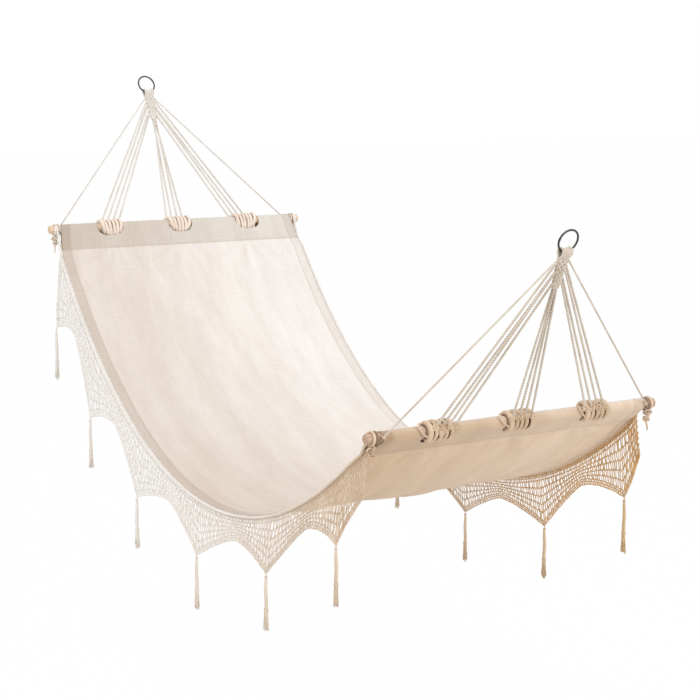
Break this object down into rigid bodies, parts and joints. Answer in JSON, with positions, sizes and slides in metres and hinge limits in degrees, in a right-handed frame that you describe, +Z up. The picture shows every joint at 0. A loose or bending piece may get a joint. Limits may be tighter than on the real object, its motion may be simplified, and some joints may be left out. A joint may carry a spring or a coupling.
{
  "type": "hammock",
  "caption": "Cloth hammock with wooden spreader bars, hung by fans of cord from steel rings, with a scalloped crochet fringe and tassels along each side.",
  "frame": {"origin": "half way between the centres of the two rings, on the line that the hammock swings about", "axes": "+X level from the foot end to the head end, +Y to the front side of the bed, +Z up"},
  "size_m": [2.1295, 0.9122, 1.4194],
  "materials": {
    "cotton_canvas": "matt plain weave",
    "cotton_cord": "matt twisted cord",
    "crochet_cotton": "matt crochet net",
    "pale_wood": "bare, sanded",
    "dark_steel": "dark, smooth"
  },
  "bodies": {
    "rings": {"head_ring": "dark_steel", "foot_ring": "dark_steel"},
    "hammock": {"head_gather": "cotton_cord", "foot_gather": "cotton_cord", "head_spreader_bar": "pale_wood", "foot_spreader_bar": "pale_wood", "head_clew_front_leg_1": "cotton_cord", "head_clew_front_leg_2": "cotton_cord", "head_clew_front_leg_3": "cotton_cord", "head_clew_front_leg_4": "cotton_cord", "head_clew_middle_leg_1": "cotton_cord", "head_clew_middle_leg_2": "cotton_cord", "head_clew_middle_leg_3": "cotton_cord", "head_clew_middle_leg_4": "cotton_cord", "head_clew_back_leg_1": "cotton_cord", "head_clew_back_leg_2": "cotton_cord", "head_clew_back_leg_3": "cotton_cord", "head_clew_back_leg_4": "cotton_cord", "head_clew_front_outer_cord": "cotton_cord", "head_clew_back_outer_cord": "cotton_cord", "foot_clew_front_leg_1": "cotton_cord", "foot_clew_front_leg_2": "cotton_cord", "foot_clew_front_leg_3": "cotton_cord", "foot_clew_front_leg_4": "cotton_cord", "foot_clew_middle_leg_1": "cotton_cord", "foot_clew_middle_leg_2": "cotton_cord", "foot_clew_middle_leg_3": "cotton_cord", "foot_clew_middle_leg_4": "cotton_cord", "foot_clew_back_leg_1": "cotton_cord", "foot_clew_back_leg_2": "cotton_cord", "foot_clew_back_leg_3": "cotton_cord", "foot_clew_back_leg_4": "cotton_cord", "foot_clew_front_outer_cord": "cotton_cord", "foot_clew_back_outer_cord": "cotton_cord", "bed_cloth": "cotton_canvas", "front_fringe": "crochet_cotton", "back_fringe": "crochet_cotton", "front_edge_cord": "cotton_cord", "back_edge_cord": "cotton_cord"},
    "front_tassel_1": {"front_tassel_1": "crochet_cotton"},
    "front_tassel_2": {"front_tassel_2": "crochet_cotton"},
    "front_tassel_3": {"front_tassel_3": "crochet_cotton"},
    "front_tassel_4": {"front_tassel_4": "crochet_cotton"},
    "front_tassel_5": {"front_tassel_5": "crochet_cotton"},
    "front_tassel_6": {"front_tassel_6": "crochet_cotton"},
    "back_tassel_1": {"back_tassel_1": "crochet_cotton"},
    "back_tassel_2": {"back_tassel_2": "crochet_cotton"},
    "back_tassel_3": {"back_tassel_3": "crochet_cotton"},
    "back_tassel_4": {"back_tassel_4": "crochet_cotton"},
    "back_tassel_5": {"back_tassel_5": "crochet_cotton"},
    "back_tassel_6": {"back_tassel_6": "crochet_cotton"}
  },
  "joints": [
    {"name": "side_swing", "type": "hinge", "parent": "rings", "child": "hammock", "pos_m": [0, 0, 0], "axis": [0.9864, 0, 0.1642], "range_deg": [-20, 20]},
    {"name": "front_tassel_1_swing", "type": "hinge", "parent": "hammock", "child": "front_tassel_1", "pos_m": [-0.76384, 0.44815, -0.89649], "axis": [1, 0, 0], "range_deg": [-35, 35]},
    {"name": "front_tassel_2_swing", "type": "hinge", "parent": "hammock", "child": "front_tassel_2", "pos_m": [-0.44026, 0.44815, -1.03949], "axis": [1, 0, 0], "range_deg": [-35, 35]},
    {"name": "front_tassel_3_swing", "type": "hinge", "parent": "hammock", "child": "front_tassel_3", "pos_m": [-0.07704, 0.44815, -1.07262], "axis": [1, 0, 0], "range_deg": [-35, 35]},
    {"name": "front_tassel_4_swing", "type": "hinge", "parent": "hammock", "child": "front_tassel_4", "pos_m": [0.27228, 0.44815, -0.98235], "axis": [1, 0, 0], "range_deg": [-35, 35]},
    {"name": "front_tassel_5_swing", "type": "hinge", "parent": "hammock", "child": "front_tassel_5", "pos_m": [0.5681, 0.44815, -0.80175], "axis": [1, 0, 0], "range_deg": [-35, 35]},
    {"name": "front_tassel_6_swing", "type": "hinge", "parent": "hammock", "child": "front_tassel_6", "pos_m": [0.80817, 0.44196, -0.57015], "axis": [1, 0, 0], "range_deg": [-35, 35]},
    {"name": "back_tassel_1_swing", "type": "hinge", "parent": "hammock", "child": "back_tassel_1", "pos_m": [-0.76384, -0.44815, -0.89649], "axis": [1, 0, 0], "range_deg": [-35, 35]},
    {"name": "back_tassel_2_swing", "type": "hinge", "parent": "hammock", "child": "back_tassel_2", "pos_m": [-0.44026, -0.44815, -1.03949], "axis": [1, 0, 0], "range_deg": [-35, 35]},
    {"name": "back_tassel_3_swing", "type": "hinge", "parent": "hammock", "child": "back_tassel_3", "pos_m": [-0.07704, -0.44815, -1.07262], "axis": [1, 0, 0], "range_deg": [-35, 35]},
    {"name": "back_tassel_4_swing", "type": "hinge", "parent": "hammock", "child": "back_tassel_4", "pos_m": [0.27228, -0.44815, -0.98235], "axis": [1, 0, 0], "range_deg": [-35, 35]},
    {"name": "back_tassel_5_swing", "type": "hinge", "parent": "hammock", "child": "back_tassel_5", "pos_m": [0.5681, -0.44815, -0.80175], "axis": [1, 0, 0], "range_deg": [-35, 35]},
    {"name": "back_tassel_6_swing", "type": "hinge", "parent": "hammock", "child": "back_tassel_6", "pos_m": [0.80817, -0.44196, -0.57015], "axis": [1, 0, 0], "range_deg": [-35, 35]}
  ]
}
